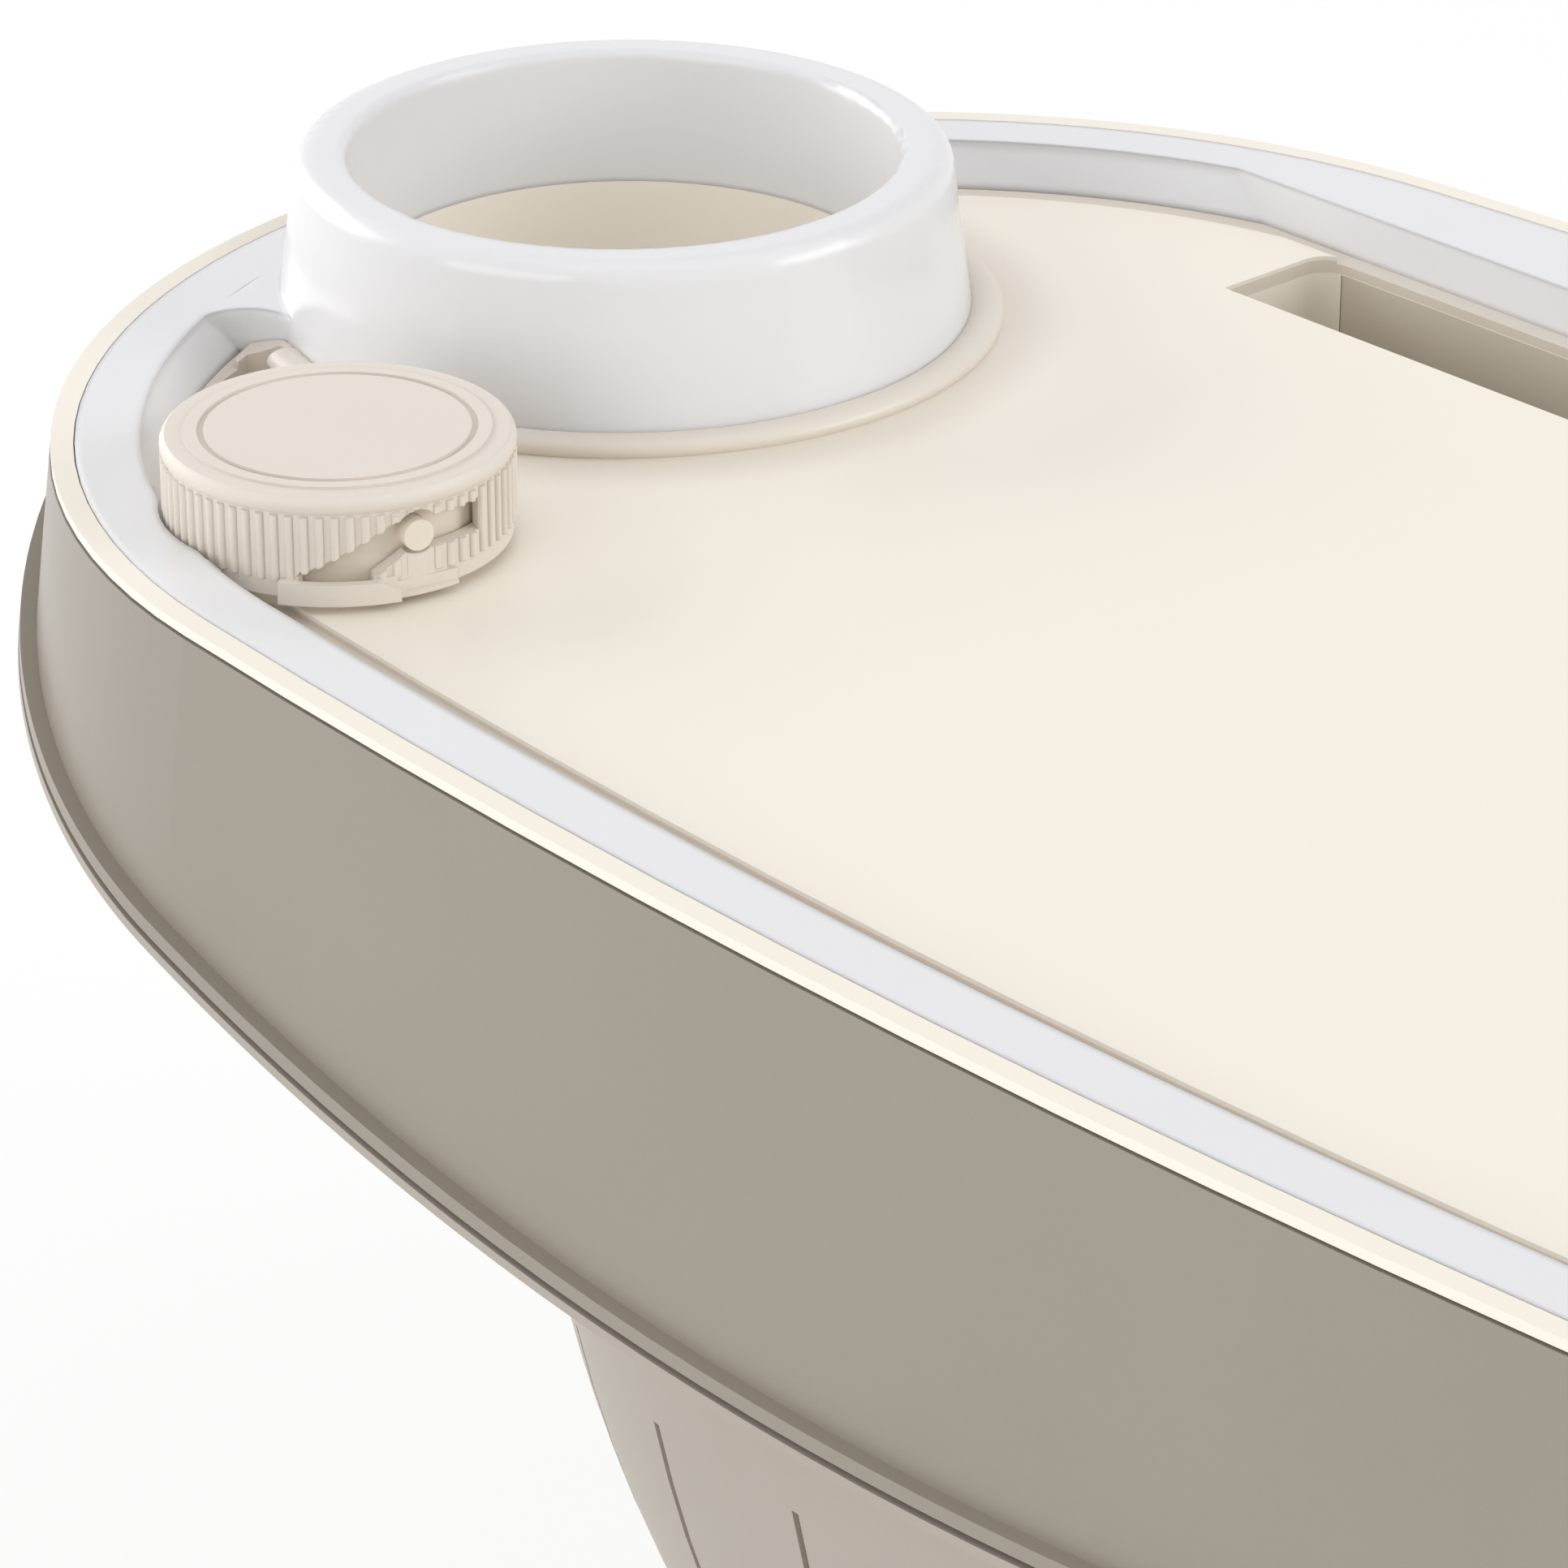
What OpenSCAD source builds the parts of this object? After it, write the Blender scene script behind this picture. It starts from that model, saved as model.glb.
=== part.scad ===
/* [Tray outline] */
// Half the length of the rim
tray_half_len = 258; // [245:1:275]
// Half the width of the rim
tray_half_wid = 135; // [132:1:150]
// Radius of the two round ends
end_r = 129; // [118:1:130]
// Height of the deck floor above the flat bottom of the hull
deck_z = 190; // [180:1:215]

/* [Deck] */
// Height of the rim's top above the deck floor
rim_h = 6; // [4:0.5:8]
// Width of the rim's top
rim_w = 3.4; // [3.2:0.1:4.5]
// Thickness of the rim's cap above the outer wall
rim_cap_t = 1.5; // [1:0.1:2]
// Thickness of the deck floor
floor_t = 3; // [2.4:0.1:4]
// Depth of the gutter between the floor and the light ring
gutter_h = 1.2; // [0.6:0.1:1.6]
// Distance from the rim's edge in to the raised floor
floor_in = 23; // [20:0.5:30]
// Depth of the light channel below the deck floor
channel_h = 8; // [6:0.5:10]
// Wall thickness of the light channel
channel_t = 1.8; // [1.2:0.1:2.4]
// Outer radius of the soft boss round the cup collar
boss_r = 63; // [58:0.5:70]
// Height of that boss
boss_h = 1.8; // [1:0.1:2]

/* [Light ring and cup collar] */
// Distance from the rim's edge in to the ring's top edge
ring_in = 13.3; // [11:0.1:15]
// Distance from the rim's edge in to the ring's foot
ring_foot_in = 17; // [15:0.5:19]
// Thickness of the clear moulding
ring_t = 2; // [1.5:0.1:2.4]
// Distance from the middle back to the ring's straight inner edge
ring_back_y = 109; // [105:0.5:112]
// Distance from the middle to the centre of the cup collar
cup_x = 199; // [190:1:200]
// Distance from the centre line back to the cup collar's centre
cup_y = 3; // [-5:1:8]
// Radius of the cup collar's mouth
cup_mouth_r = 43.2; // [40:0.2:44]
// Radius of the collar's outer edge at its top
collar_top_r = 51.6; // [50:0.2:52]
// Radius of the collar's foot
collar_foot_r = 54.6; // [54:0.2:55]
// Height of the collar above the deck floor
collar_h = 28; // [22:0.5:36]
// Radius of the web that joins the collar to the ring
web_r = 8; // [6:0.5:12]

/* [Cup well] */
// Depth of the cup well below the deck floor
well_depth = 25; // [20:0.5:26]
// Radius of the well's floor
well_floor_r = 38.5; // [36:0.5:40]
// Wall thickness of the well
well_t = 2; // [1.5:0.1:2.5]
// Height of the well's lip inside the collar
well_lip_h = 6; // [4:0.5:10]

/* [Storage trough] */
// Half the length of the trough
trough_half_len = 143; // [120:1:150]
// Distance from the middle back to the trough's front edge
trough_front_y = 80.5; // [70:0.5:86]
// Front-to-back width of the trough
trough_w = 23.5; // [18:0.5:24]
// Depth of the trough below the deck floor
trough_depth = 32; // [20:0.5:34]
// Wall thickness of the trough
trough_t = 2; // [1.5:0.1:2.4]
// Radius of the trough's back corners
trough_corner_r = 5; // [3:0.5:8]

/* [Outer wall] */
// Outward lean of the wall, sideways per unit of height
wall_flare = 0.12; // [0.06:0.01:0.16]
// Thickness of the outer wall
wall_t = 2.2; // [1.8:0.1:2.6]
// Depth of the lower lip below the deck floor at mid-length
lip_depth = 53.8; // [50:0.2:58]
// Radius of the long curve of the lower lip
lip_curve_r = 743; // [700:1:900]
// Outward reach of the lip's ridges
lip_reach = 2.5; // [1.5:0.1:3.5]
// Thickness of the upper ridge
ridge_t = 2; // [1.6:0.1:3]
// Width of the groove between the two ridges
groove_w = 1; // [0.8:0.1:2]
// Thickness of the lower ridge
low_ridge_t = 1.3; // [1:0.1:2.4]
// Thickness of the hull's pan
pan_t = 2; // [1.6:0.1:3]

/* [Hull] */
// Half the length of the bowl at its widest
bowl_half_len = 124.4; // [118:0.2:126]
// Half the width of the bowl at its widest
bowl_half_wid = 132.4; // [128:0.2:133]
// Corner radius of the bowl at its widest
bowl_corner_r = 94.4; // [88:0.2:100]
// Radius of the bowl's side, seen from the end
bowl_side_r = 230; // [215:1:260]
// Depth of the bowl's widest level below the deck floor
bowl_wide_depth = 35; // [30:1:40]
// Wall thickness of the bowl
bowl_t = 2.4; // [1.8:0.1:3]
// Width of the flutes in the bowl's side
flute_w = 1.3; // [0.8:0.1:2.5]
// Depth of the flutes
flute_d = 0.9; // [0.5:0.1:1.2]
// Depth of the flutes' upper ends below the deck floor
flute_top = 80; // [70:1:100]
// Distance of the flutes' lower ends above the flat bottom
flute_foot = 14; // [8:1:30]

/* [Twist cap] */
// Distance from the middle to the cap's axis
cap_x = 160.5; // [158:0.5:163]
// Distance from the centre line forward to the cap's axis
cap_y = 85; // [83:0.5:86]
// Radius over the cap's grip ribs
cap_r = 25.8; // [25.4:0.1:26.4]
// Height of the cap's top above the deck floor
cap_top = 17.7; // [17:0.1:21]
// Height of the skirt's lower edge above the deck floor
cap_foot = 1.6; // [1:0.1:2.5]
// Depth of the grip ribs
rib_d = 0.6; // [0.3:0.1:0.8]
// Number of places for grip ribs round the cap
rib_places = 72; // [48:4:90]
// Thickness of the cap's skirt
skirt_t = 2.1; // [1.6:0.1:2.3]
// Gap between the skirt and the neck
skirt_gap = 0.45; // [0.3:0.05:0.7]
// Radius of the raised disc on the cap
cap_disc_r = 19.4; // [16:0.2:21]

/* [Bayonet] */
// Radius of the bayonet pins
pin_r = 2.35; // [1.8:0.05:2.4]
// Height of the pins' axis above the deck floor
pin_z = 10.25; // [10:0.05:11]
// Direction of the first pin, turned from the long axis
pin_angle = -12.4; // [-14:0.2:-11]
// Height of the slot's level stretch
slot_h = 4.9; // [4.9:0.1:5.4]
// Direction of the slot's closed end
slot_end_angle = 13; // [12:0.5:16]
// Direction of the left edge of the slot's mouth
mouth_left_angle = -53; // [-58:0.5:-50]
// Direction of the right edge of the slot's mouth
mouth_right_angle = -27; // [-30:0.5:-24]
// Number of pins and slots
bayonet_count = 2; // [2:1:2]

/* [Battery tube] */
// Radius of the tube's bore
tube_bore_r = 17.2; // [17.2:0.1:17.8]
// Wall thickness of the tube below the deck
tube_t = 1.8; // [1.4:0.1:2.2]
// Depth of the tube's floor below the deck floor
tube_depth = 46; // [46:0.5:50]
// Height of the neck above the deck floor
neck_h = 14.5; // [13.5:0.1:15]
// Radius of one battery cell
cell_r = 7.25; // [7:0.05:7.25]
// Length of one battery cell
cell_l = 50.5; // [49:0.1:50.5]

/* [Light and electronics] */
// Width of the lamp strip
strip_w = 5; // [4:0.5:6]
// Thickness of the lamp strip
strip_t = 0.4; // [0.3:0.1:0.8]
// Number of lamps along each round end
end_lamps = 8; // [4:1:12]
// Number of lamps along each long side
side_lamps = 5; // [3:1:8]
// Length of the driver board
board_l = 46; // [36:1:50]
// Width of the driver board
board_w = 20; // [16:1:24]
// Thickness of the driver board
board_t = 1.6; // [1:0.1:2]

/* [Fasteners] */
// Radius of the case screws
screw_r = 1.5; // [1.2:0.1:1.7]
// Radius of the case screws' heads
screw_head_r = 3.2; // [2.8:0.1:3.3]
// Radius of the screw posts
post_r = 5; // [4.8:0.1:5.5]

/* [Hidden] */
$fn = 96;
long_fn = 720;
eps = 0.01;
far = 400;

cream = [0.96, 0.93, 0.88];
taupe = [0.69, 0.66, 0.61];
clear_white = [0.93, 0.94, 0.96];
dark_rubber = [0.36, 0.34, 0.31];
brass = [0.83, 0.69, 0.40];
steel = [0.75, 0.76, 0.78];

// Long arcs of the sides meet the round ends with no corner
end_cx = tray_half_len - end_r;
side_r = (end_cx * end_cx + tray_half_wid * tray_half_wid - end_r * end_r)
    / (2 * (tray_half_wid - end_r));
join_angle = atan2(side_r - tray_half_wid, end_cx);

// Inset and height of the light channel's inner wall
channel_in = ring_foot_in - ring_t - channel_t;
channel_back_y = ring_back_y + 2 * ring_t;
gutter_z = -gutter_h;
channel_floor_z = -channel_h + channel_t;
trough_back_y = trough_front_y + trough_w;
wall_in = 2.2;
trough_gap = 0.2;

// The lower lip follows a circle seen from the front
lip_cz = lip_curve_r - lip_depth;
lip_steps = 65;
function lip_z(x) = lip_cz - sqrt(lip_curve_r * lip_curve_r - x * x);
gasket_t = 0.4;
wall_top = rim_h - rim_cap_t - gasket_t;
wall_low = -lip_depth - 24;

pan_ledge = 3;
pan_top = groove_w + 0.3;
pan_mid = pan_top + pan_t / 2;
bowl_cx = bowl_half_len - bowl_corner_r;
bowl_cy = bowl_half_wid - bowl_corner_r;
bowl_foot_in = bowl_side_r
    - sqrt(bowl_side_r * bowl_side_r - (deck_z - bowl_wide_depth) * (deck_z - bowl_wide_depth));

skin_r = cap_r - rib_d;
neck_r = skin_r - skirt_t - skirt_gap;
well_flange_r = collar_foot_r - ring_t - 3;
well_hole_r = well_floor_r + 6.2;
housing_t = 2.2;
housing_gap = 1.6;
relief_r = cap_r + 0.6;
plug_z = 12;
mouth_z = 5;
seal_r = 0.75;
seal_z = 13.4;
seal_mid_r = tube_bore_r - 0.05 - seal_r;
ring_gap = 0.2;
back_lean = 1.5;
web_bite = 0.5;
web_gap = 0.3;

// Where a circle round the left end's centre meets one round the cup's axis
end_to_cup = norm([cup_x - end_cx, cup_y]);
cup_aim = atan2(cup_y, end_cx - cup_x);
function meet(side, r_ring, r_cup) = let (
    along = (r_ring * r_ring - r_cup * r_cup + end_to_cup * end_to_cup) / (2 * end_to_cup),
    up = sqrt(r_ring * r_ring - along * along)
) [-end_cx, 0] + along * [cos(cup_aim), sin(cup_aim)] + side * up * [sin(cup_aim), -cos(cup_aim)];
web_reach = end_r - ring_in - web_r + web_bite;
web_span = collar_foot_r + web_r - web_bite;
function web_centre(side) = meet(side, web_reach, web_span);
tube_flange = 3;
pocket_h = 4.6;

// Screw posts: left front pair, right front pair, right back pair, left back pair
posts = [[-205, -68], [-128, -104], [128, -104], [205, -68], [205, 72], [165, 90], [-165, 90], [-205, 74]];
post_seat_z = -14;
post_top_z = -9;
head_h = 2.4;

board_x = -98;
board_y = -74;
board_z = -8;
standoff_r = 2.4;
lead_r = 0.8;
lead_apart = 2 + lead_r + 0.4;

// Plan of the tray's outline moved in by the inset
module oval(inset) {
    difference() {
        intersection() {
            translate([0, tray_half_wid - side_r]) circle(side_r - inset, $fn = 4 * long_fn);
            translate([0, side_r - tray_half_wid]) circle(side_r - inset, $fn = 4 * long_fn);
            square([2 * tray_half_len, 4 * tray_half_wid], center = true);
        }
        ends_plan();
    }
    for (side = [-1, 1]) intersection() {
        translate([side * end_cx, 0]) circle(end_r - inset, $fn = 180);
        ends_plan();
    }
}

// The same plan with its back cut straight
module oval_flat(inset, back_y) {
    intersection() {
        oval(inset);
        translate([-far, -far]) square([2 * far, far + back_y]);
    }
}

module slab(low, high) {
    translate([0, 0, deck_z + low]) linear_extrude(high - low) children();
}

// Plan of the two round ends, each bounded by the lines where its arcs meet the sides
module ends_plan() {
    reach = 0.2;
    y = reach * (side_r - tray_half_wid);
    for (side = [-1, 1]) polygon([
        [side * end_cx, 0], [side * end_cx * (1 + reach), y], [side * far, y],
        [side * far, -y], [side * end_cx * (1 + reach), -y]
    ]);
}

module ends_block() {
    translate([0, 0, -far]) linear_extrude(2 * far + deck_z) ends_plan();
}

// Carries a profile of inset and height right round the outline, inside an optional block
module sweep_oval() {
    for (turn = [0, 180]) rotate(turn) {
        intersection() {
            translate([end_cx, 0, deck_z]) rotate(-100)
                rotate_extrude(angle = 200, $fn = 180) translate([end_r, 0]) mirror([1, 0]) children(0);
            ends_block();
            if ($children > 1) children(1);
        }
        difference() {
            intersection() {
                translate([0, tray_half_wid - side_r, deck_z]) rotate(80)
                    rotate_extrude(angle = 20, $fn = long_fn) translate([side_r, 0]) mirror([1, 0]) children(0);
                if ($children > 1) children(1);
            }
            ends_block();
        }
    }
}

// Everything above the lip's long curve, moved down by the drop
module above_lip(drop) {
    r = lip_curve_r + drop;
    spread = asin(1.25 * tray_half_len / lip_curve_r);
    translate([0, far, deck_z + lip_cz]) rotate([90, 0, 0]) linear_extrude(2 * far) polygon(concat(
        [[-r * sin(spread), 0]],
        [for (i = [0:lip_steps]) let (a = spread * (2 * i / lip_steps - 1)) r * [sin(a), -cos(a)]],
        [[r * sin(spread), 0]]
    ));
}

// Slice between two levels that follow the lip's curve
module lip_slice(high, low) {
    difference() {
        above_lip(low);
        above_lip(high);
    }
}

// Band of the flared wall between two distances from its outer face, kept inside a block
module wall_band(outside, inside) {
    lean = wall_flare * (rim_h - wall_low);
    lean_top = wall_flare * (rim_h - wall_top);
    sweep_oval() {
        polygon([
            [-lean_top - outside, wall_top], [-lean - outside, wall_low],
            [-lean + inside, wall_low], [-lean_top + inside, wall_top]
        ]);
        children();
    }
}

module at_cup(z) {
    translate([-cup_x, cup_y, deck_z + z]) children();
}

module at_cap(z) {
    translate([-cap_x, -cap_y, deck_z + z]) children();
}

// Deck moulding: floor, gutter, light channel, rim, boss and trough cheeks
module trough_plan(grow) {
    hull_r = trough_corner_r + grow;
    half = trough_half_len + grow;
    front = trough_front_y - grow;
    back = trough_back_y + grow;
    translate([-half, front]) square([2 * half, back - front - hull_r]);
    translate([-half + hull_r, front]) square([2 * (half - hull_r), back - front]);
    for (side = [-1, 1]) translate([side * (half - hull_r), back - hull_r]) circle(hull_r);
}

module boss_profile() {
    rise = boss_r - collar_foot_r - 0.6;
    curve_r = (rise * rise + boss_h * boss_h) / (2 * boss_h);
    difference() {
        translate([collar_foot_r - ring_t - 2, -gutter_h - eps])
            square([boss_r - collar_foot_r + ring_t + 2, boss_h + gutter_h + eps]);
        translate([boss_r, curve_r]) circle(curve_r, $fn = 360);
    }
}

module deck() {
    color(cream) difference() {
        union() {
            slab(rim_h - rim_cap_t, rim_h) difference() { oval(0); oval(rim_w); }
            slab(-channel_h, rim_h) difference() { oval(wall_in); oval(rim_w); }
            slab(-channel_h, channel_floor_z) difference() {
                oval(wall_in);
                oval_flat(channel_in + channel_t, channel_back_y - channel_t);
            }
            slab(-channel_h, gutter_z) difference() {
                oval_flat(channel_in, channel_back_y);
                oval_flat(channel_in + channel_t, channel_back_y - channel_t);
            }
            slab(-floor_t, gutter_z) oval_flat(channel_in + eps, channel_back_y - eps);
            slab(-floor_t, 0) oval_flat(floor_in, trough_back_y - 0.5);
            intersection() {
                at_cup(0) rotate_extrude() boss_profile();
                slab(-gutter_h, boss_h + 1) oval_flat(ring_foot_in + 1.5, ring_back_y - 4);
            }
            slab(-trough_depth + trough_gap, -floor_t + eps) difference() {
                for (side = [-1, 1])
                    translate([side * (trough_half_len + trough_t / 2 - trough_corner_r / 2), 0])
                        translate([-(trough_corner_r + trough_t) / 2, trough_front_y + trough_gap])
                        square([trough_corner_r + trough_t, trough_w - 2 * trough_gap]);
                trough_plan(0);
            }
            pocket_wall();
            for (p = posts) translate([p[0], p[1], deck_z + post_top_z])
                cylinder(r = post_r - 0.5, h = -post_top_z - floor_t + eps);
            for (side = [-1, 1])
                translate([board_x + side * (board_l / 2 - 4), board_y, deck_z + board_z + board_t])
                    cylinder(r = standoff_r, h = -board_z - board_t - floor_t + eps);
        }
        slab(-far / 4, rim_h) trough_plan(0);
        at_cup(-far / 4) cylinder(r = well_hole_r, h = far);
        at_cap(-far / 4) cylinder(r = neck_r + 0.15, h = far);
        for (p = posts) translate([p[0], p[1], deck_z + post_top_z - eps])
            cylinder(r = screw_r - 0.1, h = -post_top_z - 1);
        for (side = [-1, 1])
            translate([board_x + side * (board_l / 2 - 4), board_y, deck_z + board_z])
                cylinder(r = 0.9, h = -board_z - 0.8);
        for (side = [-1, 1]) strip_lead(side, lead_r + 0.3);
        slab(gutter_z, boss_h + 1) for (side = [-1, 1]) web_plan(side, -web_gap);
        pocket();
    }
}

// Small moulded pocket at the foot of the front web, and the wall round it under the floor
module pocket() {
    translate(web_centre(-1)) slab(gutter_z - pocket_h, boss_h + 1)
        polygon([[5.5, -12.5], [0.5, -4.5], [-2.5, 2.5], [0.5, 6.5], [5.5, 5.5], [4.5, -2]]);
}

module pocket_wall() {
    translate(web_centre(-1)) slab(gutter_z - pocket_h - 1.6, gutter_z - eps)
        polygon([[7.5, -14.5], [-1, -5.5], [-4.5, 3], [-0.5, 8.5], [7.5, 7.5]]);
}

// Cup well liner that drops through the deck
module cup_well() {
    wall_out = cup_mouth_r - 1 + well_t;
    color(cream) at_cup(0) rotate_extrude() polygon([
        [0, -well_depth], [well_floor_r, -well_depth], [well_floor_r + well_t, -well_depth + 2],
        [wall_out, -floor_t], [wall_out, 0], [well_flange_r, 0], [well_flange_r, boss_h],
        [wall_out, boss_h], [wall_out - 0.2, well_lip_h], [wall_out - well_t, well_lip_h],
        [well_floor_r - 0.2, -well_depth + 2.5], [0, -well_depth + 2.5]
    ]);
}

// Storage trough hung under the deck
module storage_trough() {
    half = trough_half_len + trough_t + trough_gap;
    color(taupe) difference() {
        union() {
            slab(-trough_depth - trough_t, -floor_t)
                translate([-half - trough_t, trough_front_y - trough_t])
                square([2 * (half + trough_t), trough_w + 2 * trough_t]);
            slab(-floor_t - 1.5, -floor_t)
                translate([-half - trough_t - 3, trough_front_y - trough_t - 3])
                square([2 * (half + trough_t + 3), trough_w + 2 * trough_t + 5]);
        }
        slab(-trough_depth, far) translate([-half, trough_front_y]) square([2 * half, trough_w]);
    }
}

// Sloped inner wall of the ring round the ends and the front
module ring_wall() {
    intersection() {
        sweep_oval() polygon([
            [ring_in - ring_t, rim_h - 1], [ring_in, rim_h - 1],
            [ring_foot_in, gutter_z], [ring_foot_in - ring_t, gutter_z]
        ]);
        translate([-far, -far, 0]) cube([2 * far, far + ring_back_y + 0.6, far]);
    }
}

// Straight inner wall along the back
module ring_back_wall() {
    y = ring_back_y;
    intersection() {
        translate([-far / 2, 0, deck_z]) rotate([90, 0, 90]) linear_extrude(far) polygon([
            [y + ring_t, rim_h - 0.7], [y, rim_h - 0.7], [y - back_lean, gutter_z],
            [y - back_lean + ring_t, gutter_z]
        ]);
        slab(-far / 4, rim_h) oval(ring_in - ring_t / 2);
    }
}

// Web that rounds the corner between the collar and the ring
module web_plan(side, wall) {
    centre = web_centre(side);
    out = [-end_cx, 0] + (centre + [end_cx, 0]) * (end_r - ring_in + 1) / web_reach;
    foot = [-cup_x, cup_y] + (centre - [-cup_x, cup_y]) * (collar_foot_r - 1) / web_span;
    difference() {
        polygon([centre, out, meet(side, end_r - ring_in + 1, collar_foot_r - 1), foot]);
        translate(centre) circle(web_r + wall);
    }
}

module collar_profile() {
    soft = 3.2;
    lip = 1.2;
    difference() {
        union() {
            polygon([
                [collar_foot_r, boss_h], [collar_top_r, collar_h - soft], [collar_top_r - soft, collar_h - soft],
                [collar_top_r - soft, collar_h], [cup_mouth_r + lip, collar_h],
                [cup_mouth_r + lip, collar_h - lip], [cup_mouth_r, collar_h - lip],
                [cup_mouth_r - 0.8, well_lip_h], [cup_mouth_r - 0.8, boss_h + 4]
            ]);
            translate([collar_top_r - soft, collar_h - soft]) circle(soft, $fn = 64);
            translate([cup_mouth_r + lip, collar_h - lip]) circle(lip, $fn = 48);
        }
        polygon([
            [collar_foot_r - ring_t, boss_h - eps], [collar_top_r - ring_t, collar_h - soft],
            [collar_top_r - soft, collar_h - ring_t], [cup_mouth_r + ring_t, collar_h - ring_t],
            [cup_mouth_r + ring_t - 0.8, well_lip_h], [cup_mouth_r - 2, well_lip_h],
            [cup_mouth_r - 2, boss_h - eps]
        ]);
    }
}

module ring_plate() {
    slab(rim_h - ring_t, rim_h) {
        difference() {
            oval(rim_w + ring_gap);
            oval_flat(ring_in, ring_back_y);
        }
        for (side = [-1, 1]) web_plan(side, 0);
    }
}

// Arc-shaped walls under the webs
module web_walls() {
    slab(gutter_z, rim_h - 0.9) for (side = [-1, 1]) difference() {
        web_plan(side, 0);
        web_plan(side, ring_t);
    }
}

// Outer leg that stands in the light channel
module ring_leg() {
    difference() {
        slab(channel_floor_z, rim_h - 0.5) difference() {
            oval(rim_w + ring_gap + 0.01);
            oval(rim_w + ring_gap + ring_t);
        }
        at_cup(-far / 2) cylinder(r = collar_foot_r + 3, h = far);
    }
}

// Wall that closes the ring round the twist cap
module relief_wall() {
    intersection() {
        at_cap(gutter_z) cylinder(r = relief_r + ring_t, h = rim_h - 0.6 - gutter_z);
        slab(gutter_z - 1, rim_h) difference() {
            oval(rim_w + ring_gap + ring_t / 2);
            oval(ring_in + 0.8);
        }
    }
}

module light_ring() {
    color(clear_white) union() {
        difference() {
            union() {
                ring_plate();
                ring_wall();
                ring_back_wall();
                web_walls();
                ring_leg();
                relief_wall();
            }
            at_cup(-far / 2) cylinder(r = collar_foot_r - ring_t + 0.6, h = far);
            at_cap(-far / 2) cylinder(r = relief_r, h = far);
        }
        at_cup(0) rotate_extrude() collar_profile();
    }
}

// Flared outer wall with the upper ridge of the lip
module outer_wall() {
    color(taupe) union() {
        wall_band(0, wall_t) above_lip(-ridge_t / 2);
        wall_band(lip_reach, wall_t - 0.3) lip_slice(-ridge_t, 0);
    }
}

// Rounded rectangle of the bowl, moved in by the inset
module bowl_plan(inset) {
    r = bowl_corner_r - inset;
    square([2 * (bowl_cx + r), 2 * bowl_cy], center = true);
    square([2 * bowl_cx, 2 * (bowl_cy + r)], center = true);
    for (x = [-1, 1], y = [-1, 1]) translate([x * bowl_cx, y * bowl_cy]) circle(r, $fn = 180);
}

// Profile of the bowl's side from the corner's axis
module bowl_profile(out, thick) {
    intersection() {
        translate([bowl_corner_r - bowl_side_r, -bowl_wide_depth]) difference() {
            circle(bowl_side_r + out, $fn = long_fn);
            circle(bowl_side_r - thick, $fn = long_fn);
        }
        translate([0, -deck_z]) square([bowl_corner_r + 5, deck_z - lip_depth / 2]);
    }
}

module bowl_wall() {
    for (turn = [0, 180]) rotate(turn) {
        for (side = [0, 1]) mirror([side, 0, 0]) translate([bowl_cx, bowl_cy, deck_z])
            rotate_extrude(angle = 90, $fn = 180) bowl_profile(0, bowl_t);
        translate([-bowl_cx, bowl_cy, deck_z]) rotate([90, 0, 90]) linear_extrude(2 * bowl_cx)
            bowl_profile(0, bowl_t);
        translate([bowl_cx, bowl_cy, deck_z]) rotate([90, 0, 0]) linear_extrude(2 * bowl_cy)
            bowl_profile(0, bowl_t);
    }
}

// Thin upright blade that cuts one flute
module flute_blade() {
    translate([0, 0, deck_z]) rotate([90, 0, 0]) translate([0, 0, -flute_w / 2]) linear_extrude(flute_w)
        intersection() {
            bowl_profile(1, flute_d);
            translate([0, -deck_z + flute_foot]) square([far, deck_z - flute_foot - flute_top]);
        }
}

module flutes() {
    for (turn = [0, 180]) rotate(turn) {
        for (side = [0, 1]) mirror([side, 0, 0]) translate([bowl_cx, bowl_cy, 0])
            for (step = [0:4]) rotate(9 + 18 * step) flute_blade();
        for (x = [-0.5, 0.5]) translate([x * bowl_cx, bowl_cy, 0]) rotate(90) flute_blade();
        for (y = [-0.68, 0, 0.68]) translate([bowl_cx, y * bowl_cy, 0]) flute_blade();
    }
}

module lower_hull() {
    housing_r = well_floor_r + well_t + housing_gap;
    tube_r = tube_bore_r + tube_t + 0.8;
    color(taupe) difference() {
        union() {
            wall_band(lip_reach, 12) lip_slice(groove_w, groove_w + low_ridge_t);
            intersection() {
                slab(-lip_depth - 20, 0) oval(3);
                lip_slice(pan_top, pan_top + pan_t);
            }
            difference() {
                bowl_wall();
                above_lip(pan_mid);
            }
            linear_extrude(bowl_t) bowl_plan(bowl_foot_in + 0.4);
            difference() {
                union() {
                    at_cup(-well_depth - housing_gap - housing_t)
                        cylinder(r = housing_r + housing_t, h = well_depth);
                    at_cap(-tube_depth - tube_t - 1 - housing_t)
                        cylinder(r = tube_r + housing_t, h = tube_depth / 2);
                }
                above_lip(pan_mid);
            }
            for (p = posts) translate([p[0], p[1], deck_z + lip_z(p[0]) - pan_mid])
                cylinder(r = post_r, h = post_top_z - lip_z(p[0]) + pan_mid);
        }
        slab(-lip_depth - 20, 0) bowl_plan(bowl_t + pan_ledge);
        at_cup(-well_depth - housing_gap) cylinder(r = housing_r, h = well_depth);
        at_cap(-tube_depth - tube_t - 1) cylinder(r = tube_r, h = tube_depth);
        for (p = posts) {
            translate([p[0], p[1], 0]) cylinder(r = screw_head_r + 0.4, h = deck_z + post_seat_z);
            translate([p[0], p[1], 0]) cylinder(r = screw_r + 0.3, h = deck_z);
        }
        flutes();
    }
}

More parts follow.
